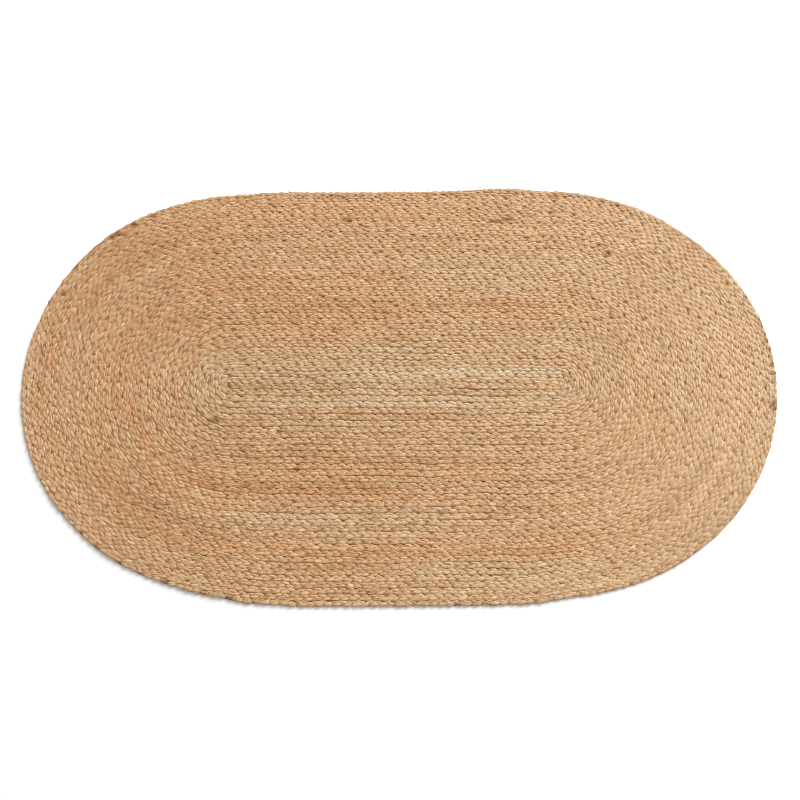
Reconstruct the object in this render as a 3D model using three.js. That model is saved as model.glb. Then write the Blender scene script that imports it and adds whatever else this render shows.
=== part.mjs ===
// Oval jute rug.
// One long three-strand jute braid is folded back round a short straight first run and wound outwards
// in a flat oval spiral. Each turn is sewn edge to edge to the turn inside it, and the braid's outer
// end tapers off against the far long side. The whole rug is one piece of cloth, so it is one solid:
// flat underneath, with a raised rib for every turn of the braid on top.
// Millimetres. +X runs along the rug, +Y towards its far long side, +Z up. The underside is z = 0 and
// the origin is the middle of the rug's bounding box.

import * as THREE from 'three';

// Driving sizes of the rug.
const RUG_LENGTH = 1600;
const RUG_WIDTH = 900;
const TURNS = 35;
const CROWN_HEIGHT = 9;
const SEAM_HEIGHT = 5;

// The first run and the turns on both sides of it fill the width.
const BRAID_PITCH = RUG_WIDTH / (2 * TURNS + 1);

// Inner turns are a little slacker than the outer ones.
const SLACK_IN_THE_MIDDLE = 0.05;

// The braid's crown dips by up to this much, in slow waves along the braid and from turn to turn.
const CROWN_DIP = 0.5;
const DIP_WAVES = [
  { perStation: 0.73, perTurn: 0.6 },
  { perStation: -0.35, perTurn: 0.12 },
];

// The round outer edge turns in by this much at the floor.
const EDGE_TUCK = 2.5;

// Where along the far side the braid ends, and the length of its taper, in shares of that side.
const BRAID_END = 0.3;
const TAPER = 0.13;

// Steps round one turn.
const STEPS_ALONG_SIDE = 10;
const STEPS_ROUND_END = 22;
const STEPS = 2 * (STEPS_ALONG_SIDE + STEPS_ROUND_END);

// A station runs from 0 to 4 round the rug: 0 to 1 back along the far side from its +X end, 1 to 2
// round the -X end, 2 to 3 forth along the near side, and 3 to 4 round the +X end.
const FAR_SIDE = 0;
const MINUS_X_END = 1;
const NEAR_SIDE = 2;
const PLUS_X_END = 3;
const STATIONS = 4;

// How far the edge stands off an even oval, as the rug was shaped by hand.
const EDGE_SHAPE = [
  { station: 0.0, off: -3 },
  { station: 0.16, off: 4 },
  { station: 0.31, off: -2 },
  { station: 0.55, off: -4 },
  { station: 0.85, off: -5 },
  { station: 1.08, off: -14 },
  { station: 1.25, off: -6 },
  { station: 1.45, off: -8 },
  { station: 1.88, off: -28 },
  { station: 2.12, off: -2 },
  { station: 2.25, off: 3 },
  { station: 2.6, off: 2 },
  { station: 2.85, off: -1 },
  { station: 3.08, off: -20 },
  { station: 3.6, off: 12 },
  { station: 3.82, off: -1 },
  { station: 3.92, off: -5 },
];

// Share of the way between two values, eased at both ends.
function ease(share) {
  return 0.5 - 0.5 * Math.cos(Math.PI * share);
}

// Distance from the first run to the rug's edge at a station.
function edgeReach(station) {
  const next = EDGE_SHAPE.findIndex((row) => row.station > station);
  const after = next === -1 ? { station: STATIONS, off: EDGE_SHAPE[0].off } : EDGE_SHAPE[next];
  const before = EDGE_SHAPE[(next === -1 ? EDGE_SHAPE.length : next) - 1];
  const share = (station - before.station) / (after.station - before.station);
  return RUG_WIDTH / 2 + THREE.MathUtils.lerp(before.off, after.off, ease(share));
}

// The straight first run, whose half length makes the rug its full length.
const MIDDLE_OF_END = 0.5;
const CORE_HALF =
  (RUG_LENGTH - edgeReach(MINUS_X_END + MIDDLE_OF_END) - edgeReach(PLUS_X_END + MIDDLE_OF_END)) / 2;

// The spiral moves out by one braid while it rounds the +X end, and by nothing elsewhere.
function growth(station) {
  return station < PLUS_X_END ? 0 : ease(station - PLUS_X_END);
}

// Width of the last stretch of braid on the far side, as a share of a full braid.
function taperAt(station) {
  return THREE.MathUtils.clamp((BRAID_END - station) / TAPER, 0, 1);
}

// Level of the rug's edge at a station. A level counts braid pitches out from the first run.
function edgeLevel(station) {
  const lastBraid = station < MINUS_X_END ? taperAt(station) : 0;
  return TURNS + 0.5 + growth(station) + lastBraid;
}

// Distance from the first run to a level, at a station.
function distanceOut(level, station) {
  const edge = edgeLevel(station);
  const share = level / edge;
  const handwork = edgeReach(station) / (BRAID_PITCH * edge) - 1;
  const slack = SLACK_IN_THE_MIDDLE * (1 - share);
  return BRAID_PITCH * level * (1 + slack) * (1 + handwork * share);
}

// The point of the first run that a station looks out from, and the direction it looks in.
function lookout(station) {
  const along = station % 1;
  const quarter = Math.floor(station);
  if (quarter === FAR_SIDE) {
    return { x: CORE_HALF * (1 - 2 * along), angle: Math.PI / 2 };
  }
  if (quarter === MINUS_X_END) {
    return { x: -CORE_HALF, angle: Math.PI * (0.5 + along) };
  }
  if (quarter === NEAR_SIDE) {
    return { x: CORE_HALF * (2 * along - 1), angle: -Math.PI / 2 };
  }
  return { x: CORE_HALF, angle: Math.PI * (along - 0.5) };
}

// A point of the rug at a level and station, with the tuck taken off its distance.
function place(level, station, height, tuck = 0) {
  const { x, angle } = lookout(station);
  const out = distanceOut(level, station) - tuck;
  return new THREE.Vector3(x + out * Math.cos(angle), out * Math.sin(angle), height);
}

// Station of a step of the spiral. A side and an end have their own numbers of steps.
function stationOf(step) {
  const inTurn = ((step % STEPS) + STEPS) % STEPS;
  const half = STEPS_ALONG_SIDE + STEPS_ROUND_END;
  const start = inTurn < half ? FAR_SIDE : NEAR_SIDE;
  const inHalf = inTurn % half;
  if (inHalf < STEPS_ALONG_SIDE) {
    return start + inHalf / STEPS_ALONG_SIDE;
  }
  return start + 1 + (inHalf - STEPS_ALONG_SIDE) / STEPS_ROUND_END;
}

// Steps below 0 are the first run and its fold, steps from 0 on are the turns.
const FIRST_STEP = -STEPS;
const LAST_STEP = TURNS * STEPS + Math.round(BRAID_END * STEPS_ALONG_SIDE);

// Height of the crown, which is level on the first run and dips here and there along the turns.
function crownHeight(turn, station) {
  if (turn === 0) {
    return CROWN_HEIGHT;
  }
  const dips = DIP_WAVES.map((wave) => ease(wave.perStation * station + wave.perTurn * turn));
  return CROWN_HEIGHT - (CROWN_DIP * (dips[0] + dips[1])) / 2;
}

// The lines of the braid at a step: its inner seam, its crown and its outer seam.
function braidAt(step) {
  const station = stationOf(step);
  const turn = Math.floor(step / STEPS) + 1;
  const width = turn > TURNS ? taperAt(station) : 1;
  const inside = turn - 0.5 + growth(station);
  const crownLevel = inside + width / 2;
  const crown = place(crownLevel, station, crownHeight(turn, station));
  const outer = place(inside + width, station, SEAM_HEIGHT);
  const base = place(inside + width, station, 0, EDGE_TUCK);
  const inner = turn > 0 ? place(inside, station, SEAM_HEIGHT) : foldOf(station, crown);
  if (width === 0) {
    return { inner, crown: inner, outer: inner, base };
  }
  return { inner, crown, outer, base };
}

// The first run has no inner seam, and its fold at the +X end turns about the run's end and then
// about the first point of the seam beside it.
function foldOf(station, crown) {
  if (station <= PLUS_X_END) {
    return crown;
  }
  const foldMiddle = PLUS_X_END + MIDDLE_OF_END;
  if (station <= foldMiddle) {
    return place(0, FAR_SIDE, crownHeight(0, FAR_SIDE));
  }
  return place(0.5, FAR_SIDE, SEAM_HEIGHT);
}

// Points that agree to this many steps in a millimetre are one point.
const SAME_POINT_STEPS = 1000;

// A list of triangles that joins points at the same place and leaves out empty triangles.
class Skin {
  constructor() {
    this.points = [];
    this.triangles = [];
    this.numberAt = new Map();
  }

  number(point) {
    const key = point.toArray().map((value) => Math.round(value * SAME_POINT_STEPS)).join();
    if (!this.numberAt.has(key)) {
      this.numberAt.set(key, this.points.length);
      this.points.push(point);
    }
    return this.numberAt.get(key);
  }

  triangle(a, b, c) {
    const corners = [a, b, c].map((point) => this.number(point));
    if (new Set(corners).size === 3) {
      this.triangles.push(...corners);
    }
  }

  // A four-sided patch, with its corners in order against the clock as seen from outside.
  patch(a, b, c, d) {
    this.triangle(a, b, c);
    this.triangle(a, c, d);
  }

  geometry(shift) {
    const geometry = new THREE.BufferGeometry();
    const values = this.points.flatMap((point) => point.clone().add(shift).toArray());
    geometry.setAttribute('position', new THREE.Float32BufferAttribute(values, 3));
    geometry.setIndex(this.triangles);
    geometry.computeVertexNormals();
    return geometry;
  }
}

// Two slopes for each step of the braid: from its inner seam up to the crown, and down again.
function addRibs(skin) {
  for (let step = FIRST_STEP; step < LAST_STEP; step += 1) {
    const here = braidAt(step);
    const next = braidAt(step + 1);
    skin.patch(here.inner, here.crown, next.crown, next.inner);
    skin.patch(here.crown, here.outer, next.outer, next.crown);
  }
}

// The last full turn's outer side and the flat underside within it.
function addEdgeAndUnderside(skin) {
  const bases = [];
  for (let step = LAST_STEP - STEPS; step < LAST_STEP; step += 1) {
    const here = braidAt(step);
    const next = braidAt(step + 1);
    skin.patch(here.outer, here.base, next.base, next.outer);
    bases.push(here.base);
  }
  const rim = bases.map((point) => new THREE.Vector2(point.x, point.y));
  for (const [a, b, c] of THREE.ShapeUtils.triangulateShape(rim, [])) {
    skin.triangle(bases[a], bases[c], bases[b]);
  }
}

// The rug, moved so that the middle of its bounding box is the origin.
function makeRug() {
  const skin = new Skin();
  addRibs(skin);
  addEdgeAndUnderside(skin);
  const middle = new THREE.Box3().setFromPoints(skin.points).getCenter(new THREE.Vector3());
  const material = new THREE.MeshStandardMaterial({ color: 0xcba476, roughness: 0.95, metalness: 0 });
  const rug = new THREE.Mesh(skin.geometry(new THREE.Vector3(-middle.x, -middle.y, 0)), material);
  rug.name = 'rug';
  return rug;
}

const group = new THREE.Group();
group.add(makeRug());

export default group;
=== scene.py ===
import math

import bpy
import numpy as np
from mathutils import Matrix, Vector


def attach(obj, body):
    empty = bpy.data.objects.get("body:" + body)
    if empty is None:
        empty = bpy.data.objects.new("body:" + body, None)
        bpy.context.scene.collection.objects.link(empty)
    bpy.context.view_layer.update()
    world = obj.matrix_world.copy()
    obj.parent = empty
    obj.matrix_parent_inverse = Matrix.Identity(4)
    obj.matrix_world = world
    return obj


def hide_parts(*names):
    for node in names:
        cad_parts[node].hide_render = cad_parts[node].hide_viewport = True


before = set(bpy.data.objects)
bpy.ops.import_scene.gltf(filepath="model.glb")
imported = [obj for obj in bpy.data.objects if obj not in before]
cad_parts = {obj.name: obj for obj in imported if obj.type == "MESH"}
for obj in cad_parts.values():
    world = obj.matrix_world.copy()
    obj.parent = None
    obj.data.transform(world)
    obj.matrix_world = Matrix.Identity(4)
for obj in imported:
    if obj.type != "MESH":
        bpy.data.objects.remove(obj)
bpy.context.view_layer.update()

# Oval jute rug: one three-strand braid wound outwards in a flat oval spiral and sewn edge to edge.
# Sizes are millimetres until the meshes are made, as in the CAD source. +X runs along the rug, +Y
# towards its far long side, +Z up.
MM = 0.001
SEED = 20
TINT_SEED = 3

# Sizes that the CAD source also states.
RUG_LENGTH = 1600
RUG_WIDTH = 900
TURNS = 35
BRAID_PITCH = RUG_WIDTH / (2 * TURNS + 1)
SLACK_IN_THE_MIDDLE = 0.05
BRAID_END = 0.3
TAPER = 0.13

# How far the edge stands off an even oval, by station: 0 to 1 back along the far side, 1 to 2 round
# the -X end, 2 to 3 forth along the near side, 3 to 4 round the +X end.
EDGE_SHAPE = (
    (0.0, -3), (0.16, 4), (0.31, -2), (0.55, -4), (0.85, -5), (1.08, -14),
    (1.25, -6), (1.45, -8), (1.88, -28), (2.12, -2), (2.25, 3), (2.6, 2),
    (2.85, -1), (3.08, -20), (3.6, 12), (3.82, -1), (3.92, -5), (4.0, -3),
)

# The braid's strands, each of which shows a lobe on top wherever it crosses over.
STRANDS = 3
LOBE_PITCH = 17.7
PERIOD = STRANDS * LOBE_PITCH
SAMPLES_A_PERIOD = 12
BRAID_PIECES = 6

# Directions of a strand's points as seen along it, in degrees, closer together on its upper side.
SECTION = np.radians((12, 48, 90, 132, 168, 235, 305))
SIDES = len(SECTION)

# How far a strand sways to each side, and the share of a third wave that turns it back sooner.
SWAY = 3.95
TURN_BACK = 0.12

# How far a strand rises and dips about its middle height, the share of a third wave that shapes its
# rise, how far its crossings lead its sway, and how much higher the braid lies on its outer side.
MID_HEIGHT = 4.2
RISE = 1.7
RISE_SHAPE = 0.12
LEAD = math.radians(12)
TILT = 0.5

# A strand's size, and how it is pressed: narrower and thicker where it crosses the middle.
HALF_WIDTH = 4.65
HALF_THICKNESS = 3.1
CROSSING_WIDTH = 0.86
WIDTH_GAIN = 0.16
CROSSING_THICKNESS = 1.04
THICKNESS_LOSS = 0.08

# The least width of the braid at its tapered end, as a share of its full width.
TAPER_END = 0.25

# The last turn lies this much closer in, and its outer strands sway out by this share less and stray
# by this share less, as its rim is pressed straight.
EDGE_PULL = 1.1
EDGE_FLATTEN = 0.45
EDGE_STEADY = 0.5

# Unevenness along the braid, as waves of a size and a wavelength in millimetres. The first table is
# shared by the three strands, and each strand has its own waves of the second.
SHARED_WAVES = {
    "sideways": ((0.34, 190),),
    "phase": ((0.9, 700), (0.35, 120)),
    "height": ((0.12, 160),),
    "width": ((0.04, 450),),
    "tilt": ((0.3, 450),),
}
OWN_WAVES = {
    "phase": ((0.26, 24), (0.15, 80)),
    "sideways": ((0.30, 20),),
    "height": ((0.22, 18),),
    "plump": ((0.09, 20), (0.05, 300)),
}


def ease(share):
    return 0.5 - 0.5 * np.cos(np.pi * share)


def edge_reach(station):
    """Distance from the first run to the rug's edge."""
    stations, offs = np.array(EDGE_SHAPE).T
    i = np.clip(np.searchsorted(stations, station, side="right") - 1, 0, len(stations) - 2)
    share = (station - stations[i]) / (stations[i + 1] - stations[i])
    return RUG_WIDTH / 2 + offs[i] + (offs[i + 1] - offs[i]) * ease(share)


CORE_HALF = float(RUG_LENGTH - edge_reach(np.array(1.5)) - edge_reach(np.array(3.5))) / 2


def growth(station):
    """The spiral moves out by one braid while it rounds the +X end."""
    return np.where(station < 3, 0.0, ease(np.clip(station - 3, 0, 1)))


def taper_at(station):
    return np.clip((BRAID_END - station) / TAPER, 0, 1)


def distance_out(level, station):
    """Distance from the first run to a level, which counts braids out from it."""
    edge = TURNS + 0.5 + growth(station) + np.where(station < 1, taper_at(station), 0)
    share = level / edge
    handwork = edge_reach(station) / (BRAID_PITCH * edge) - 1
    return BRAID_PITCH * level * (1 + SLACK_IN_THE_MIDDLE * (1 - share)) * (1 + handwork * share)


def place(level, station):
    """Where a level is at a station, from the middle of the first run."""
    quarter = np.clip(np.floor(station).astype(int), 0, 3)
    along = station - quarter
    x = np.choose(quarter, [CORE_HALF * (1 - 2 * along), -CORE_HALF + 0 * along,
                            CORE_HALF * (2 * along - 1), CORE_HALF + 0 * along])
    angle = np.choose(quarter, [np.pi / 2 + 0 * along, np.pi * (0.5 + along),
                                -np.pi / 2 + 0 * along, np.pi * (along - 0.5)])
    out = distance_out(level, station)
    return np.stack([x + out * np.cos(angle), out * np.sin(angle)], -1)


def rug_middle():
    """Middle of the rug's box, which is the part's origin."""
    station = np.linspace(0, 4, 4001)[:-1]
    last = np.where(station < 1, taper_at(station), 0)
    rim = place(TURNS + 0.5 + growth(station) + last, station)
    return (rim.min(0) + rim.max(0)) / 2


MIDDLE = rug_middle()

# Slow waves that push neighbouring turns closer together here and further apart there.
HAND_WAVES = 14
HAND_WAVE_LENGTHS = (60, 200)
HAND_PUSH = 0.5
# Levels in from the edge over which these waves fade, which leaves the outline as it is.
HAND_FADE = 3.0


def hand_push(point, level):
    """How far the maker's hand left the braid beside its even line."""
    random = np.random.RandomState(SEED + 1)
    push = np.zeros_like(point)
    for _ in range(HAND_WAVES):
        heading, towards, start = random.uniform(0, 2 * np.pi, 3)
        length = random.uniform(*HAND_WAVE_LENGTHS)
        across = point[:, 0] * np.cos(heading) + point[:, 1] * np.sin(heading)
        wave = HAND_PUSH * np.sin(2 * np.pi * across / length + start)
        push += wave[:, None] * np.array([np.cos(towards), np.sin(towards)])
    return push * np.clip((TURNS + 0.5 - level) / HAND_FADE, 0, 1)[:, None]


# The braid's middle line, by the walk along it in turns. It starts at the -X end of the first run
# and stops just short of its end, where its width would be nothing.
WALK_START = -0.5
WALK_END = TURNS + BRAID_END / 4 - 1e-6
PATH_POINTS = 160000


def braid_line():
    """The middle line as points a short step apart: walk, distance along, place and width."""
    walk = np.linspace(WALK_START, WALK_END, PATH_POINTS)
    turn = np.floor(walk) + 1
    station = 4 * (walk - np.floor(walk))
    width = np.where(turn > TURNS, taper_at(station), 1.0)
    level = turn - 0.5 + growth(station) + width / 2
    level = np.where((turn < 1) & (station < 3), 0.0, level)
    level = np.where((turn < 1) & (station >= 3), growth(station), level)
    point = place(level, station) - MIDDLE
    point += hand_push(point, level)
    step = np.hypot(*np.diff(point, axis=0).T)
    along = np.concatenate([[0], np.cumsum(step)])
    return {"walk": walk, "along": along, "point": point, "width": width}


line = braid_line()
LENGTH = float(line["along"][-1])


def wander(random, along, wavelength):
    """Smooth random values of about unit size, which change over a wavelength along the braid."""
    knots = random.normal(size=int(LENGTH / wavelength) + 4)
    place_in = along / wavelength
    i = np.clip(np.floor(place_in).astype(int), 0, len(knots) - 2)
    share = place_in - i
    return knots[i] + (knots[i + 1] - knots[i]) * share * share * (3 - 2 * share)


def waver(random, along, waves):
    """The sum of some waves of unevenness."""
    return sum(size * wander(random, along, wavelength) for size, wavelength in waves)


def on_line(name, along):
    """A value of the middle line at distances along it."""
    values = line[name]
    if values.ndim == 1:
        return np.interp(along, line["along"], values)
    return np.stack([np.interp(along, line["along"], v) for v in values.T], -1)


def soft_step(value):
    value = np.clip(value, 0, 1)
    return value * value * (3 - 2 * value)


def unit(vectors):
    return vectors / np.maximum(np.linalg.norm(vectors, axis=-1, keepdims=True), 1e-9)


def line_frame(along):
    """Place, forward and outward directions of the middle line."""
    reach = 2.0
    ahead = on_line("point", np.minimum(along + reach, LENGTH))
    behind = on_line("point", np.maximum(along - reach, 0))
    forward = unit(ahead - behind)
    outward = np.stack([forward[:, 1], -forward[:, 0]], -1)
    return on_line("point", along), forward, outward


samples = int(LENGTH / PERIOD * SAMPLES_A_PERIOD)
along = np.linspace(0, LENGTH, samples + 1)
walk = on_line("walk", along)
centre, _, outward = line_frame(along)
width = np.maximum(on_line("width", along), TAPER_END)

shape_random = np.random.RandomState(SEED)
shared = {name: waver(shape_random, along, waves) for name, waves in SHARED_WAVES.items()}

# Share of the last turn's shape, which comes in over a short walk where that turn starts.
LAST_TURN_START = TURNS - 1.1
LAST_TURN_EASE = 0.12
last_turn = soft_step((walk - LAST_TURN_START) / LAST_TURN_EASE)


def strand_line(number):
    """Middle line and size of one strand, in the rug's own frame, and its phase."""
    own = {name: waver(shape_random, along, waves) for name, waves in OWN_WAVES.items()}
    plump = 1 + own["plump"]
    phase = 2 * np.pi * (along / PERIOD + number / STRANDS) + shared["phase"] + own["phase"]
    sway = SWAY * (np.sin(phase) + TURN_BACK * np.sin(3 * phase)) * (1 + shared["width"])
    sway = np.where(sway > 0, sway * (1 - EDGE_FLATTEN * last_turn), sway)
    stray = shared["sideways"] + own["sideways"] * (1 - EDGE_STEADY * last_turn)
    sideways = (sway + stray - EDGE_PULL * last_turn) * width
    rise = -np.sin(2 * (phase + LEAD)) - RISE_SHAPE * np.sin(6 * (phase + LEAD))
    tilt = (TILT + shared["tilt"]) * sway / (BRAID_PITCH / 2)
    height = MID_HEIGHT + (RISE * rise + tilt + shared["height"] + own["height"]) * width
    flat = centre + outward * sideways[:, None]
    point = np.concatenate([flat, height[:, None]], -1)
    over = np.abs(np.sin(2 * (phase + LEAD)))
    across = HALF_WIDTH * plump * (CROSSING_WIDTH + WIDTH_GAIN * over) * width
    thick = HALF_THICKNESS * (CROSSING_THICKNESS - THICKNESS_LOSS * over) * np.sqrt(plump * width)
    return point, across, thick, phase


# No point of a strand lies lower than this, just above the floor.
LOWEST = 0.02


def tube(point, across, thick):
    """Rings of points round a strand, with the local place across it of each."""
    forward = unit(np.gradient(point, axis=0))
    left = unit(np.stack([-forward[:, 1], forward[:, 0], 0 * forward[:, 0]], -1))
    up = np.cross(forward, left)
    side = across[:, None] * np.cos(SECTION)
    lift = thick[:, None] * np.sin(SECTION)
    ring = point[:, None] + left[:, None] * side[..., None] + up[:, None] * lift[..., None]
    ring[..., 2] = np.maximum(ring[..., 2], LOWEST)
    return ring, side, lift


# Where the jute is lighter or warmer than the rest, as in the photo: stretches of the braid by turn and
# station, then wider patches by their middle and reach in millimetres. Part of the +X end's lightness is
# painted light from the window on that side.
STREAKS = (
    # turn, turns each way, from station, to station, lighter, warmer
    (0.3, 0.6, 1.85, 2.5, -0.14, 0.5),
    (0.5, 0.5, 2.75, 3.4, -0.10, -0.3),
    (2.0, 5.0, -0.2, 4.2, 0.0, -0.6),
    (2.3, 1.8, -0.2, 4.2, 0.05, -0.2),
    (2.2, 0.8, -0.1, 0.7, 0.12, -0.9),
    (2.7, 0.5, 2.0, 2.85, 0.09, -0.8),
    (4.6, 0.9, 2.0, 2.8, -0.05, 0.2),
    (1.0, 0.8, 2.9, 3.3, 0.04, -1.0),
    (5.0, 1.4, 3.2, 3.8, -0.07, 0.1),
    (6.2, 0.8, 1.75, 2.0, -0.11, -0.3),
    (9.2, 0.8, 1.5, 1.95, -0.07, 0.7),
    (10.8, 1.1, 1.85, 2.4, -0.08, 0.5),
    (12.0, 0.7, 2.2, 2.7, -0.10, 0.4),
    (10.2, 0.9, 0.55, 0.85, -0.07, 1.0),
    (14.1, 0.5, -0.1, 0.95, -0.08, 0.9),
    (13.5, 0.9, 0.95, 1.3, -0.05, 0.5),
    (16.0, 0.6, 1.5, 1.85, -0.08, 0.7),
    (16.7, 0.9, 1.8, 2.55, -0.16, 0.8),
    (17.0, 0.8, 0.9, 1.2, -0.02, 0.4),
    (20.3, 1.2, 1.65, 1.95, -0.07, -0.1),
    (23.6, 0.8, 1.7, 2.3, -0.13, 0.6),
    (21.8, 0.9, 2.0, 2.4, 0.04, -0.9),
    (19.3, 0.9, 2.05, 2.45, 0.0, -0.6),
    (24.2, 0.9, 0.98, 1.22, -0.09, 0.9),
    (28.0, 0.8, 0.95, 1.4, -0.09, 0.9),
    (26.8, 3.0, 1.6, 2.1, -0.07, 0.7),
    (29.3, 0.7, 2.15, 2.55, -0.10, 0.9),
    (27.3, 0.4, 2.3, 3.1, -0.06, 1.0),
    (26.4, 0.8, 3.1, 3.4, -0.12, 0.2),
    (28.4, 0.7, 3.1, 3.5, 0.03, -0.6),
    (18.0, 0.6, 3.35, 4.1, 0.04, -0.7),
    (14.5, 1.0, 3.7, 4.1, -0.05, 0.4),
    (33.8, 0.7, 2.95, 3.2, 0.10, -0.6),
    (32.0, 0.5, 2.05, 2.25, -0.06, 0.2),
    (20.0, 1.0, -0.1, 0.5, 0.06, -0.6),
    (26.3, 0.6, 0.15, 0.5, -0.05, 0.4),
    (26.6, 0.7, 1.16, 1.36, 0.09, -0.3),
    (25.0, 0.7, 1.10, 1.26, 0.09, -0.3),
    (34.6, 1.4, 3.1, 4.1, -0.06, -0.6),
    (34.0, 1.0, 1.35, 1.70, 0.0, -0.4),
    (19.0, 0.8, 3.16, 3.32, -0.12, -0.6),
    (24.5, 0.8, 3.10, 3.26, 0.10, 0.3),
    (20.3, 1.0, 3.30, 3.60, -0.09, -0.2),
    (26.7, 1.0, 3.20, 3.42, -0.09, 0.0),
    (19.7, 1.0, 3.22, 3.38, -0.07, 0.0),
    (24.2, 1.2, 2.20, 2.50, -0.08, 0.0),
    (17.5, 1.0, 2.45, 2.68, -0.09, 0.0),
    (20.6, 1.4, 2.65, 3.10, -0.07, 0.2),
    (21.6, 0.9, 1.85, 2.05, -0.08, 0.0),
    (24.5, 1.0, 2.00, 2.20, -0.06, 0.0),
    (9.4, 0.8, 0.15, 0.40, 0.08, -0.3),
    (11.3, 0.9, 0.0, 0.50, 0.06, 0.0),
    (35.0, 1.0, 3.62, 3.85, -0.07, 0.0),
    (34.9, 0.9, 1.48, 1.68, 0.06, 0.0),
    (25.7, 0.8, 0.60, 0.80, 0.05, 0.0),
    (19.1, 0.9, 1.80, 2.00, 0.0, -0.8),
    (34.9, 0.6, 2.78, 2.98, 0.0, -0.7),
    (19.3, 1.4, 1.45, 1.82, 0.0, -0.6),
    (34.5, 1.2, 3.35, 3.62, 0.0, -0.6),
    (28.9, 1.0, 3.00, 3.22, 0.0, -0.5),
    (35.0, 0.9, 1.08, 1.28, 0.0, -0.6),
    (35.3, 0.8, -0.1, 0.30, 0.0, -0.5),
    (9.8, 0.9, 2.70, 2.95, 0.0, 0.6),
    (23.3, 0.9, 3.72, 3.92, 0.0, 0.4),
)
PATCHES = (
    # x, y, reach along x, reach along y, lighter, warmer
    (-20, 0, 420, 80, 0.0, -0.7),
    # The +X end: partly lighter jute, partly painted light from the window on the right.
    (700, 0, 240, 430, 0.115, -0.1),
    (-560, 60, 260, 260, -0.03, 0.3),
    (-130, -285, 260, 35, 0.03, -0.7),
    (280, -405, 200, 40, 0.04, -0.4),
    (205, 235, 110, 40, 0.03, -0.7),
    (-600, 340, 110, 70, -0.05, 0.4),
    (-40, 330, 420, 90, 0.01, 0.1),
    (-200, -170, 330, 100, -0.02, 0.4),
    (-230, 230, 240, 170, -0.02, 0.3),
)
# Small marks that the photo shows: knots of dark or pale jute, and dark slivers along the rim, which are
# painted shade on the rim's outer lobes.
MARKS_AND_RIM_SHADE = (
    # x, y, reach along x, reach along y, lighter, warmer
    (214, 374, 12, 3, -0.7, 0.5),
    (240, 379, 12, 3, -0.7, 0.5),
    (-114, 375, 10, 3, -0.8, 0.6),
    (457, 297, 8, 5, -0.6, 0.2),
    (-250, -99, 5, 4, -0.9, -0.5),
    (-264, -99, 5, 4, 0.5, -1.6),
    (-212, -178, 6, 4, -0.8, 0.2),
    (338, 396, 8, 4, -0.4, -2.2),
    (-386, -73, 15, 6, -0.4, -1.2),
    (76, 108, 26, 10, 0.12, -0.7),
    # Painted shade: dark slivers along the rim.
    (-650, -309, 6, 4, -0.8, 0.3),
    (-617, -337, 7, 4, -1.2, 0.3),
    (-571, -367, 7, 4, -1.0, 0.3),
    (-524, -390, 6, 4, -0.8, 0.3),
    (-471, -405, 7, 4, -1.0, 0.3),
    (-394, -429, 7, 4, -0.9, 0.3),
    (-340, -437, 7, 4, -0.9, 0.3),
    (-589, 368, 5, 5, -1.0, 0.3),
    (-545, 387, 6, 4, -0.7, 0.3),
    (-620, 344, 8, 4, -0.8, 0.3),
    (-634, 336, 5, 4, -0.7, 0.3),
    (-757, 189, 4, 5, -0.8, 0.3),
    (-730, 205, 5, 4, -0.7, 0.3),
    (-706, 267, 4, 5, -0.7, 0.3),
    (752, 199, 4, 4, -1.2, -0.4),
    (776, 146, 4, 4, -0.9, -0.4),
    (780, 130, 4, 4, -0.7, 0.2),
    (785, 115, 4, 4, -0.9, 0.2),
    (787, 99, 4, 4, -0.8, -0.4),
    (792, 81, 4, 4, -0.9, 0.0),
    (795, 68, 4, 4, -0.8, 0.2),
    (795, 50, 4, 4, -0.9, -0.8),
    (796, 29, 4, 4, -0.9, 0.0),
    (796, 13, 4, 4, -0.6, 0.2),
    (791, -36, 5, 4, -0.9, 0.0),
    (788, -50, 5, 4, -0.8, 0.0),
    (692, 287, 5, 5, -0.8, -0.4),
    (657, 323, 5, 4, -0.6, -0.2),
)


# Stations over which a streak fades at each end.
STREAK_FADE = 0.12

# Unevenness of the tints, as waves of a size and a wavelength in millimetres: for the whole braid,
# and for each strand.
BRAID_LIGHT = ((0.02, 700), (0.018, 110))
BRAID_WARM = ((0.36, 800), (0.24, 150))
STRAND_LIGHT = ((0.02, 420), (0.03, 90), (0.03, 16))
STRAND_WARM = ((0.2, 600), (0.2, 140))

# Short pale and dark stretches of a strand: how many, how strong, and their shape.
PALE_FLECKS = 220
DARK_FLECKS = 180
PALE_LIGHTER = 0.16
PALE_COOLER = 0.45
DARK_DARKER = 0.22
FLECK_SHAPE = (0.5, 1, 0.5)

tint_random = np.random.RandomState(TINT_SEED)


def add_spots(spots, point, light, warm):
    """Adds each spot's tint to the points near it."""
    for x, y, reach_x, reach_y, lighter, warmer in spots:
        share = np.exp(-((point[:, 0] - x) / reach_x) ** 2 - ((point[:, 1] - y) / reach_y) ** 2)
        light += lighter * share
        warm += warmer * share


def region_tint():
    """How much lighter and warmer the braid is along its length by where it lies."""
    turn = np.floor(walk) + 1
    station = 4 * (walk + 1 - turn)
    light = waver(tint_random, along, BRAID_LIGHT)
    warm = waver(tint_random, along, BRAID_WARM)
    for at, half, start, end, lighter, warmer in STREAKS:
        share = soft_step((station - start) / STREAK_FADE) * soft_step((end - station) / STREAK_FADE)
        share *= np.exp(-((turn - at) / half) ** 2)
        light += lighter * share
        warm += warmer * share
    add_spots(PATCHES, centre, light, warm)
    return light, warm


def flecks(count):
    """Short stretches of a strand, a lobe or so long, at places left to chance."""
    hits = np.zeros(len(along))
    hits[tint_random.randint(0, len(along), count)] = 1
    return np.convolve(hits, FLECK_SHAPE, "same")


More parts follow.
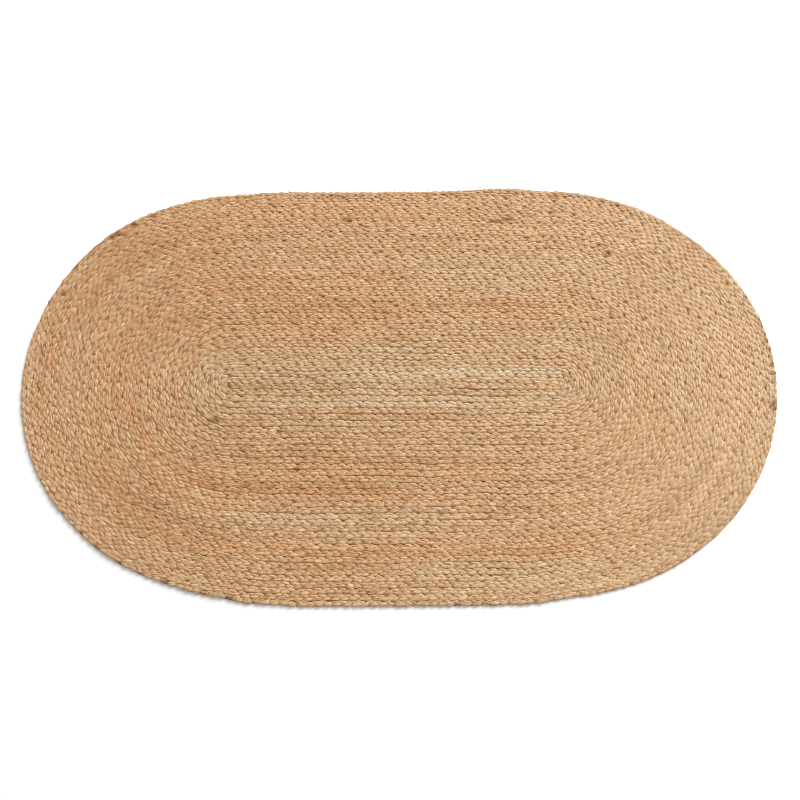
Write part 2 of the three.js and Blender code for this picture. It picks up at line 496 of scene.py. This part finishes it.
def strand_tint(region):
    """How light and warm a strand is along its length."""
    light = region[0] + waver(tint_random, along, STRAND_LIGHT)
    pale = flecks(PALE_FLECKS)
    dark = flecks(DARK_FLECKS)
    light += PALE_LIGHTER * pale - DARK_DARKER * dark
    warm = region[1] + waver(tint_random, along, STRAND_WARM) - PALE_COOLER * pale
    return light, warm


# Shares of the full painted shade in a seam at the rug's two ends and on the first run, and how much of it
# is
# there by chance: its middle, its waves and its limit.
SEAM_AT_ENDS = 0.25
SEAM_AT_START = 0.2
SEAM_CHANCE = 0.5
SEAM_WAVES = ((0.45, 260),)
SEAM_MOST = 1.1


def seam_shade_strength():
    """How strong the painted shade in the seam beside the braid is: most of all along the long sides of
    the outer turns.
    """
    station = 4 * (walk - np.floor(walk))
    on_side = 0.5 + 0.5 * np.cos(np.pi * (station - 0.5))
    by_side = SEAM_AT_ENDS + (1 - SEAM_AT_ENDS) * on_side
    by_turn = SEAM_AT_START + (1 - SEAM_AT_START) * walk / TURNS
    chance = np.clip(SEAM_CHANCE + waver(tint_random, along, SEAM_WAVES), 0, SEAM_MOST)
    return by_side * by_turn * chance


# How much greyer the rug's outer rim is, as in the photo. The grey comes in where the last turn
# starts, over a short walk, is stronger along the far side, and grows across the braid's outer half.
RIM_GREY = 3.2
RIM_EASE = 0.1
RIM_ALL_ROUND = 0.45
GREY_FROM = 0.2
GREY_EASE = 0.6


def rim_share():
    """How far the braid is the rug's outer rim, most of all along the far side."""
    on_last_turn = soft_step((walk - (TURNS - 1)) / RIM_EASE)
    return on_last_turn * np.clip(RIM_ALL_ROUND + outward[:, 1], 0, 1)


def new_mesh(name, points, faces):
    """A smooth mesh from arrays of points in millimetres and of faces that all have as many corners."""
    mesh = bpy.data.meshes.new(name)
    mesh.vertices.add(len(points))
    mesh.vertices.foreach_set("co", (points * MM).astype(np.float32).ravel())
    corners = faces.shape[1]
    mesh.loops.add(faces.size)
    mesh.loops.foreach_set("vertex_index", faces.astype(np.int32).ravel())
    mesh.polygons.add(len(faces))
    mesh.polygons.foreach_set("loop_start", np.arange(0, faces.size, corners, dtype=np.int32))
    mesh.polygons.foreach_set("use_smooth", np.ones(len(faces), bool))
    mesh.update(calc_edges=True)
    piece = bpy.data.objects.new(name, mesh)
    bpy.context.scene.collection.objects.link(piece)
    return piece


def add_values(piece, name, values):
    """A value at each point of a piece for its material: a number, or three numbers."""
    values = np.asarray(values, np.float32)
    if values.ndim == 1:
        piece.data.attributes.new(name, "FLOAT", "POINT").data.foreach_set("value", values)
    else:
        piece.data.attributes.new(name, "FLOAT_VECTOR", "POINT").data.foreach_set("vector", values.ravel())


def strand_faces(first, count):
    """Triangles of a tube of rings, whose points start at a number, with a fan over each end."""
    ring = np.arange(SIDES)
    here = np.arange(count - 1)[:, None] * SIDES + first
    a = here + ring
    b = here + (ring + 1) % SIDES
    lower = np.stack([a, b, b + SIDES], -1).reshape(-1, 3)
    upper = np.stack([a, b + SIDES, a + SIDES], -1).reshape(-1, 3)
    fan = np.arange(1, SIDES - 1)
    start = np.stack([0 * fan, fan + 1, fan], -1) + first
    end = np.stack([0 * fan, fan, fan + 1], -1) + first + (count - 1) * SIDES
    return np.concatenate([lower, upper, start, end])


strands = [strand_line(number) for number in range(STRANDS)]
tubes = [tube(point, across, thick) for point, across, thick, _ in strands]
region = region_tint()
tints = [strand_tint(region) for _ in range(STRANDS)]
seam_shade = seam_shade_strength()
rim = rim_share()


# Rows of the braid's map for each strand, the share of a row's height that its faces leave free, and
# how far an end fan reaches in its own square.
MAP_ROWS = 15
MAP_GAP = 0.04
MAP_FAN = 0.4


def strand_map(strand, count):
    """Places on the map for the corners of strand_faces: rows one above another, end fans in the last."""
    rows = STRANDS * MAP_ROWS + 1
    step = np.arange(count - 1)[:, None] + np.zeros(SIDES, int)
    a_row = -(-(count - 1) // MAP_ROWS)
    row = step // a_row + strand * MAP_ROWS
    left = (step % a_row) / a_row
    right = left + 1 / a_row
    low = (row + MAP_GAP + (1 - 2 * MAP_GAP) * np.arange(SIDES) / SIDES) / rows
    high = low + (1 - 2 * MAP_GAP) / SIDES / rows
    a, b = np.stack([left, low], -1), np.stack([left, high], -1)
    a_next, b_next = np.stack([right, low], -1), np.stack([right, high], -1)
    lower = np.stack([a, b, b_next], -2).reshape(-1, 2)
    upper = np.stack([a, b_next, a_next], -2).reshape(-1, 2)
    turn = np.stack([np.cos(SECTION), np.sin(SECTION)], -1) * MAP_FAN
    fan = np.arange(1, SIDES - 1)
    ends = []
    for end, order in ((0, [0 * fan, fan + 1, fan]), (1, [0 * fan, fan, fan + 1])):
        middle = np.array([2 * strand + end + 0.5, rows - 0.5])
        spot = (middle + turn) / (2 * STRANDS, rows)
        ends.append(spot[np.stack(order, -1)].reshape(-1, 2))
    return np.concatenate([lower, upper, *ends])


def add_map(piece, places):
    """A map for the piece's colours, a place for each corner."""
    layer = piece.data.uv_layers.new(name="OFBake")
    layer.uv.foreach_set("vector", places.astype(np.float32).ravel())


# How far apart the three strands lie in the jute's pattern, so that no two look alike.
PATTERN_APART = 40


def make_braid(number):
    """A stretch of the braid with its three strands, as one piece."""
    first = samples * number // BRAID_PIECES
    last = samples * (number + 1) // BRAID_PIECES
    span = slice(first, last + 1)
    count = last + 1 - first
    points, faces, places, fibre, light, warm, depth, flank, edge = ([] for _ in range(9))
    for strand in range(STRANDS):
        ring, side, lift = (part[span] for part in tubes[strand])
        faces.append(strand_faces(strand * count * SIDES, count))
        places.append(strand_map(strand, count))
        points.append(ring.reshape(-1, 3))
        run = np.repeat(along[span], SIDES)
        fibre.append(np.stack([run, side.ravel(), lift.ravel() + PATTERN_APART * strand], -1) * MM)
        light.append(np.repeat(tints[strand][0][span], SIDES))
        warm.append(np.repeat(tints[strand][1][span], SIDES))
        add_spots(MARKS_AND_RIM_SHADE, points[-1], light[-1], warm[-1])
        rise = -np.sin(2 * (strands[strand][3][span, None] + LEAD))
        depth.append((rise * np.sign(lift)).ravel())
        widest = np.maximum(np.abs(side).max(1, keepdims=True), 0.01)
        flank.append((np.abs(side) / widest).ravel())
        off = ring[..., :2] - centre[span, None]
        sideways = (off * outward[span, None]).sum(-1) / (BRAID_PITCH / 2 * width[span, None])
        edge.append(np.abs(sideways).ravel())
        grey = rim[span, None] * soft_step((sideways - GREY_FROM) / GREY_EASE)
        warm[-1] -= RIM_GREY * grey.ravel()
    piece = new_mesh(f"braid_{number + 1}", np.concatenate(points), np.concatenate(faces))
    add_map(piece, np.concatenate(places))
    add_values(piece, "fibre", np.concatenate(fibre))
    add_values(piece, "light", np.concatenate(light))
    add_values(piece, "warm", np.concatenate(warm))
    # The strands' dips and flanks, their distance from the braid's middle and the seam's strength, which
    # set where the material paints shade.
    add_values(piece, "depth", np.concatenate(depth))
    add_values(piece, "flank", np.concatenate(flank))
    add_values(piece, "edge", np.concatenate(edge))
    add_values(piece, "seam_shade", np.tile(np.repeat(seam_shade[span], SIDES), STRANDS))
    return piece


class Nodes:
    """Short ways to add and join the nodes of a material."""

    def __init__(self, name):
        self.material = bpy.data.materials.new(name)
        self.material.use_nodes = True
        self.tree = self.material.node_tree
        self.shader = self.tree.nodes["Principled BSDF"]

    def put(self, socket, value):
        if isinstance(value, bpy.types.NodeSocket):
            self.tree.links.new(value, socket)
        elif value is not None:
            socket.default_value = value

    def add(self, kind, output=0, inputs=(), **settings):
        node = self.tree.nodes.new(kind)
        for key, value in settings.items():
            setattr(node, key, value)
        for key, value in dict(inputs).items():
            self.put(node.inputs[key], value)
        return node.outputs[output]

    def value(self, name, output="Fac"):
        return self.add("ShaderNodeAttribute", output, attribute_name=name)

    def maths(self, operation, a, b=None, c=None):
        return self.add("ShaderNodeMath", inputs={0: a, 1: b, 2: c}, operation=operation)

    def scaled(self, vector, by):
        return self.add("ShaderNodeVectorMath", inputs={0: vector, 1: by}, operation="MULTIPLY")

    def noise(self, vector, scale=1.0, detail=2.0, rough=0.5):
        return self.add("ShaderNodeTexNoise", "Fac",
                        {"Vector": vector, "Scale": scale, "Detail": detail, "Roughness": rough})

    def between(self, value, low, high, to_low=0.0, to_high=1.0):
        limits = {"From Min": low, "From Max": high, "To Min": to_low, "To Max": to_high}
        return self.add("ShaderNodeMapRange", "Result", {"Value": value, **limits})

    def ramp(self, value, stops):
        socket = self.add("ShaderNodeValToRGB", "Color", {"Fac": value})
        elements = socket.node.color_ramp.elements
        while len(elements) < len(stops):
            elements.new(0.5)
        for element, (at, colour) in zip(elements, stops):
            element.position = at
            element.color = (*colour, 1)
        return socket

    def mix(self, factor, a, b, blend="MIX"):
        node = self.tree.nodes.new("ShaderNodeMix")
        node.data_type = "RGBA"
        node.blend_type = blend
        self.put(node.inputs["Factor"], factor)
        self.put(node.inputs["A"], a)
        self.put(node.inputs["B"], b)
        return node.outputs["Result"]

    def darker(self, colour, share, tint):
        return self.mix(share, colour, self.mix(1.0, colour, tint, "MULTIPLY"))


# The jute's grains, as cells in a metre along a strand, across it and through it.
FINE_GRAIN = (60, 1500, 1500)
BUNDLE_GRAIN = (55, 420, 420)
DARK_GRAIN = (300, 900, 900)
PALE_GRAIN = (260, 620, 620)

# The jute's colours by tone, and the tints that cool or warm them between two limits of warmth.
JUTE_TONES = (
    (0.05, (0.257, 0.115, 0.041)),
    (0.36, (0.483, 0.271, 0.123)),
    (0.55, (0.620, 0.385, 0.200)),
    (0.85, (0.763, 0.540, 0.344)),
)
COOLEST = -4.8
WARMEST = 1.6
JUTE_HUES = (
    (0.0, (0.85, 1.12, 1.42)),
    (0.5, (0.935, 1.035, 1.13)),
    (0.75, (1.0, 1.0, 1.0)),
    (1.0, (1.055, 0.94, 0.80)),
)
DARK_SPECK = (0.22, 0.10, 0.038, 1)
PALE_SPECK = (0.84, 0.65, 0.44, 1)

# What darkens the jute: the lines between bundles of fibre, and painted shade where strands tuck under and
# in the seams between turns.
LINE_TINT = (0.57, 0.38, 0.19, 1)
SHADE_TINT = (0.74, 0.51, 0.26, 1)
SEAM_SHADE_TINT = (0.49, 0.31, 0.15, 1)


def jute():
    """Jute fibre: straw to brown, streaked along the strand, with painted shade where the strands tuck
    under, at their flanks, low down and in the seams.
    """
    n = Nodes("jute")
    fibre = n.value("fibre", "Vector")

    # Streaks of fibre, and the tint that the point has.
    fine = n.noise(n.scaled(fibre, FINE_GRAIN), 1.0, 3.0, 0.65)
    bundle = n.noise(n.scaled(fibre, BUNDLE_GRAIN), 1.0, 2.0, 0.6)
    streak = n.maths("ADD", n.maths("MULTIPLY", fine, 0.45), n.maths("MULTIPLY", bundle, 0.55))
    tone = n.maths("MULTIPLY_ADD", n.maths("SUBTRACT", streak, 0.5), 2.0, 0.5)
    colour = n.ramp(n.maths("ADD", tone, n.value("light")), JUTE_TONES)
    hue = n.ramp(n.between(n.value("warm"), COOLEST, WARMEST), JUTE_HUES)
    colour = n.mix(1.0, colour, hue, "MULTIPLY")

    # Lines between bundles, dark specks and pale specks.
    line = n.between(n.maths("ABSOLUTE", n.maths("SUBTRACT", bundle, 0.5)), 0.0, 0.035, 0.45, 0.0)
    colour = n.darker(colour, line, LINE_TINT)
    dark = n.between(n.noise(n.scaled(fibre, DARK_GRAIN), 1.0, 2.0, 0.6), 0.66, 0.78, 0.0, 0.6)
    colour = n.mix(dark, colour, DARK_SPECK)
    pale = n.between(n.noise(n.scaled(fibre, PALE_GRAIN), 1.0, 1.0), 0.62, 0.74, 0.0, 0.45)
    colour = n.mix(pale, colour, PALE_SPECK)

    # Painted shade where a strand dips, at its flanks and low down, and painted shade in the seams.
    dip_shade = n.between(n.value("depth"), -0.5, 0.35, 0.65, 0.0)
    flank = n.between(n.value("flank"), 0.72, 1.0, 0.0, 0.45)
    height = n.add("ShaderNodeSeparateXYZ", "Z", {"Vector": n.add("ShaderNodeTexCoord", "Object")})
    crease_shade = n.between(height, 0.0066, 0.0048, 0.0, 0.3)
    shade = n.maths("MAXIMUM", crease_shade, n.maths("MAXIMUM", dip_shade, flank))
    colour = n.darker(colour, shade, SHADE_TINT)
    groove_shade = n.maths("MULTIPLY", n.between(n.value("edge"), 0.80, 1.02), n.value("seam_shade"))
    colour = n.darker(colour, groove_shade, SEAM_SHADE_TINT)
    n.put(n.shader.inputs["Base Color"], colour)

    # A little gloss and sheen, and the relief of the streaks.
    n.put(n.shader.inputs["Roughness"], n.between(fine, 0.3, 0.7, 0.45, 0.7))
    n.shader.inputs["Specular IOR Level"].default_value = 0.35
    n.shader.inputs["Sheen Weight"].default_value = 0.06
    n.shader.inputs["Sheen Roughness"].default_value = 0.5
    relief = n.maths("ADD", n.maths("MULTIPLY", fine, 0.4), bundle)
    bump = n.add("ShaderNodeBump", "Normal", {"Height": relief, "Strength": 0.85, "Distance": 0.0013})
    n.put(n.shader.inputs["Normal"], bump)
    return n.material


def shaded_inner_jute():
    """The jute between and under the strands, coloured dark brown as painted shade, which shows only as
    dark specks.
    """
    n = Nodes("shaded_inner_jute")
    where = n.add("ShaderNodeTexCoord", "Object")
    grain = n.noise(where, 900, 3, 0.6)
    colour = n.ramp(grain, ((0.3, (0.20, 0.09, 0.03)), (0.7, (0.42, 0.22, 0.09))))
    n.put(n.shader.inputs["Base Color"], colour)
    n.shader.inputs["Roughness"].default_value = 0.9
    bump = n.add("ShaderNodeBump", "Normal", {"Height": grain, "Strength": 0.6, "Distance": 0.0005})
    n.put(n.shader.inputs["Normal"], bump)
    return n.material


# The ground between the strands, a thin flat sheet inside the braid.
GROUND_COUNT = 148
GROUND_RINGS = 24
GROUND_HALF = 1.4
GROUND_INSET = 2.6


def across_first_ring(count):
    """Quads that close the first ring: across the two sides, and across each end."""
    quarter = count // 4
    pairs = [(i, 3 * quarter - i) for i in range(quarter)]
    pairs += [(quarter + i, 2 * quarter - i) for i in range(quarter // 2)]
    pairs += [(3 * quarter + i, count - i) for i in range(quarter // 2)]
    return np.array([(a, a + 1, b - 1, b % count) for a, b in pairs])


def make_ground():
    """A closed sheet: rings of points out from the first run, joined above, below and at the rim."""
    station = np.arange(GROUND_COUNT) * 4 / GROUND_COUNT
    edge = TURNS + 0.5 + growth(station) + np.where(station < 1, taper_at(station), 0)
    rim = place(edge, station)
    inner = np.stack([np.clip(rim[:, 0], -CORE_HALF, CORE_HALF), 0 * rim[:, 1]], -1)
    reach = np.linalg.norm(rim - inner, axis=1)
    shrink = (reach - GROUND_INSET) / reach
    flats = [inner + (rim - inner) * (shrink * ring / GROUND_RINGS)[:, None]
             for ring in range(1, GROUND_RINGS + 1)]
    flat = np.concatenate(flats) - MIDDLE
    layers = [np.concatenate([flat, np.full((len(flat), 1), MID_HEIGHT + lift)], -1)
              for lift in (GROUND_HALF, -GROUND_HALF)]
    here = np.arange(GROUND_COUNT)
    after = (here + 1) % GROUND_COUNT
    top = [across_first_ring(GROUND_COUNT)]
    for ring in range(GROUND_RINGS - 1):
        low = ring * GROUND_COUNT
        high = low + GROUND_COUNT
        top.append(np.stack([low + here, high + here, high + after, low + after], -1))
    top = np.concatenate(top)
    below = len(flat)
    edge_above = (GROUND_RINGS - 1) * GROUND_COUNT
    edge_below = edge_above + below
    side = np.stack([edge_above + here, edge_below + here, edge_below + after, edge_above + after], -1)
    faces = np.concatenate([top, (top + below)[:, ::-1], side])
    return new_mesh("rug_ground", np.concatenate(layers), faces)


# Loose ends of jute fibre that stick out of the braid. The far right edge has a small tuft of them.
TUFT = (
    # x, y, heading in degrees, bend in degrees, length
    (511, 405, 75, -110, 20),
    (514, 405, 60, -150, 18),
    (520, 402, 100, -95, 15),
    (526, 399, 80, -60, 14),
    (662, 310, 65, -50, 11),
    (690, 281, 60, -40, 10),
)
EDGE_FIBRES = 70
TOP_FIBRES = 130
TUFT_THICKNESS = 0.95
FIBRE_THICKNESS = 0.45
FIBRE_RINGS = 6
FIBRE_SIDES = 3

# Stations that the rim's fibres lie between, and how many levels inside the rim they start.
EDGE_FIBRE_STATIONS = (3.2, 5.3)
EDGE_FIBRE_INSET = 0.25

# Limits of a fibre's heading off straight out or off the braid's own, of its bend and of its length.
EDGE_FIBRE_TURN = (-75, 75)
EDGE_FIBRE_BEND = (-70, 70)
EDGE_FIBRE_LENGTH = (5, 9)
TOP_FIBRE_TURN = (-35, 35)
TOP_FIBRE_BEND = (-40, 40)
TOP_FIBRE_LENGTH = (9, 22)

# Heights: a fibre on top arches up from a strand, and one at the rim rises a little along its length.
TOP_FIBRE_START = 6.6
TOP_FIBRE_ARCH = 2.6
EDGE_FIBRE_START = 5.5
EDGE_FIBRE_RISE = 1.5

# The share of its thickness that a fibre loses at its ends, and how much paler and cooler it is.
FIBRE_TAPER = 0.6
FIBRE_LIGHT = 0.22
FIBRE_WARM = -0.5


def edge_fibres(random):
    """Short fibres at chance places just inside the rim's far half, heading out of it."""
    station = random.uniform(*EDGE_FIBRE_STATIONS, EDGE_FIBRES) % 4
    last = np.where(station < 1, taper_at(station), 0)
    rim = TURNS + 0.5 + growth(station) + last
    start = place(rim - EDGE_FIBRE_INSET, station) - MIDDLE
    out = place(rim, station) - MIDDLE - start
    heading = np.degrees(np.arctan2(out[:, 1], out[:, 0]))
    heading += random.uniform(*EDGE_FIBRE_TURN, EDGE_FIBRES)
    bend = random.uniform(*EDGE_FIBRE_BEND, EDGE_FIBRES)
    length = random.uniform(*EDGE_FIBRE_LENGTH, EDGE_FIBRES)
    return np.stack([start[:, 0], start[:, 1], heading, bend, length], -1)


def top_fibres(random):
    """Fibres at chance places on the rug, which lie nearly along the braid."""
    at = random.uniform(0, LENGTH, TOP_FIBRES)
    start, forward, _ = line_frame(at)
    heading = np.degrees(np.arctan2(forward[:, 1], forward[:, 0]))
    heading += random.uniform(*TOP_FIBRE_TURN, TOP_FIBRES)
    bend = random.uniform(*TOP_FIBRE_BEND, TOP_FIBRES)
    length = random.uniform(*TOP_FIBRE_LENGTH, TOP_FIBRES)
    return np.stack([start[:, 0], start[:, 1], heading, bend, length], -1)


def fibre_faces(first):
    """Triangles round a fibre, whose points start at a number, and one over each of its ends."""
    faces = []
    for ring in range(FIBRE_RINGS - 1):
        low = first + ring * FIBRE_SIDES
        for i in range(FIBRE_SIDES):
            j = (i + 1) % FIBRE_SIDES
            faces.append((low + i, low + j, low + FIBRE_SIDES + j))
            faces.append((low + i, low + FIBRE_SIDES + j, low + FIBRE_SIDES + i))
    last = first + (FIBRE_RINGS - 1) * FIBRE_SIDES
    return faces + [(first + 2, first + 1, first), (last, last + 1, last + 2)]


def make_fibres():
    """All loose fibres as one piece of thin closed tubes, most of which start inside a strand."""
    random = np.random.RandomState(SEED)
    rows = np.concatenate([np.array(TUFT), edge_fibres(random), top_fibres(random)])
    share = np.linspace(0, 1, FIBRE_RINGS)
    arch = TOP_FIBRE_START + TOP_FIBRE_ARCH * np.sin(np.pi * share)
    slope = EDGE_FIBRE_START + EDGE_FIBRE_RISE * share
    points, faces = [], []
    angles = 2 * np.pi * np.arange(FIBRE_SIDES) / FIBRE_SIDES
    for number, (x, y, heading, bend, length) in enumerate(rows):
        turn = np.radians(heading + bend * share)
        step = np.stack([np.cos(turn), np.sin(turn)], -1) * length / (FIBRE_RINGS - 1)
        flat = np.array([x, y]) + np.cumsum(step, 0) - step[0]
        on_top = number >= len(TUFT) + EDGE_FIBRES
        height = arch if on_top else slope
        thickness = TUFT_THICKNESS if number < len(TUFT) else FIBRE_THICKNESS
        radius = thickness * (1 - FIBRE_TAPER * np.abs(2 * share - 1))
        across = np.stack([-np.sin(turn), np.cos(turn)], -1)
        side = (radius[:, None] * np.cos(angles))[..., None] * across[:, None]
        lift = radius[:, None] * np.sin(angles)
        ring = np.concatenate([flat[:, None] + side, (height[:, None] + lift)[..., None]], -1)
        faces += fibre_faces(number * FIBRE_RINGS * FIBRE_SIDES)
        points.append(ring.reshape(-1, 3))
    piece = new_mesh("loose_fibres", np.concatenate(points), np.array(faces))
    count = len(piece.data.vertices)
    add_values(piece, "fibre", np.concatenate(points) * MM)
    add_values(piece, "light", np.full(count, FIBRE_LIGHT))
    add_values(piece, "warm", np.full(count, FIBRE_WARM))
    add_values(piece, "depth", np.full(count, 1.0))
    return piece


braids = [make_braid(number) for number in range(BRAID_PIECES)]
ground = make_ground()
fibres = make_fibres()
jute_material = jute()
shaded_inner_material = shaded_inner_jute()
for piece in [*braids, fibres]:
    piece.data.materials.append(jute_material)
ground.data.materials.append(shaded_inner_material)

for piece in [*braids, ground, fibres]:
    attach(piece, "root")
    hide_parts("rug")


# Half the width of the white floor, in metres.
FLOOR_HALF = 12


def make_floor():
    mesh = bpy.data.meshes.new("floor")
    corners = [(-1, -1), (1, -1), (1, 1), (-1, 1)]
    mesh.from_pydata([(x * FLOOR_HALF, y * FLOOR_HALF, 0) for x, y in corners], [], [(0, 1, 2, 3)])
    floor = bpy.data.objects.new("floor", mesh)
    bpy.context.scene.collection.objects.link(floor)
    n = Nodes("floor")
    n.shader.inputs["Base Color"].default_value = (0.97, 0.97, 0.97, 1)
    n.shader.inputs["Roughness"].default_value = 1.0
    n.shader.inputs["Specular IOR Level"].default_value = 0.0
    mesh.materials.append(n.material)


# A large soft window on the far right, in metres and watts, and an even white sky.
WINDOW_AT = Vector((4.45, 5.25, 5.7))
WINDOW_SIZE = 5.5
WINDOW_POWER = 902
SKY = 0.538


def make_light():
    world = bpy.data.worlds.new("studio")
    world.use_nodes = True
    background = world.node_tree.nodes["Background"]
    background.inputs["Color"].default_value = (1, 1, 1, 1)
    background.inputs["Strength"].default_value = SKY
    bpy.context.scene.world = world
    data = bpy.data.lights.new("window", "AREA")
    data.size = WINDOW_SIZE
    data.energy = WINDOW_POWER
    lamp = bpy.data.objects.new("window", data)
    lamp.location = WINDOW_AT
    lamp.rotation_mode = "QUATERNION"
    lamp.rotation_quaternion = (-WINDOW_AT).to_track_quat("-Z", "Y")
    bpy.context.scene.collection.objects.link(lamp)


# The camera looks down at 78 degrees from the near side. Its axis meets the floor at the aim.
AIM = Vector((1.35, -28.7, 0)) * MM
ELEVATION = math.radians(78)
DISTANCE = 1701 * MM
LENS = 36.17


def make_camera():
    data = bpy.data.cameras.new("camera")
    data.sensor_width = 36
    data.lens = LENS
    data.clip_start = 0.05
    data.clip_end = 50
    camera = bpy.data.objects.new("camera", data)
    camera.rotation_mode = "QUATERNION"
    back = Vector((0, -math.cos(ELEVATION), math.sin(ELEVATION)))
    camera.location = AIM + back * DISTANCE
    camera.rotation_quaternion = (-back).to_track_quat("-Z", "Y")
    bpy.context.scene.collection.objects.link(camera)
    bpy.context.scene.camera = camera


make_floor()
make_light()
make_camera()
bpy.context.scene.view_settings.view_transform = "Standard"
bpy.context.scene.cycles.filter_width = 0.75
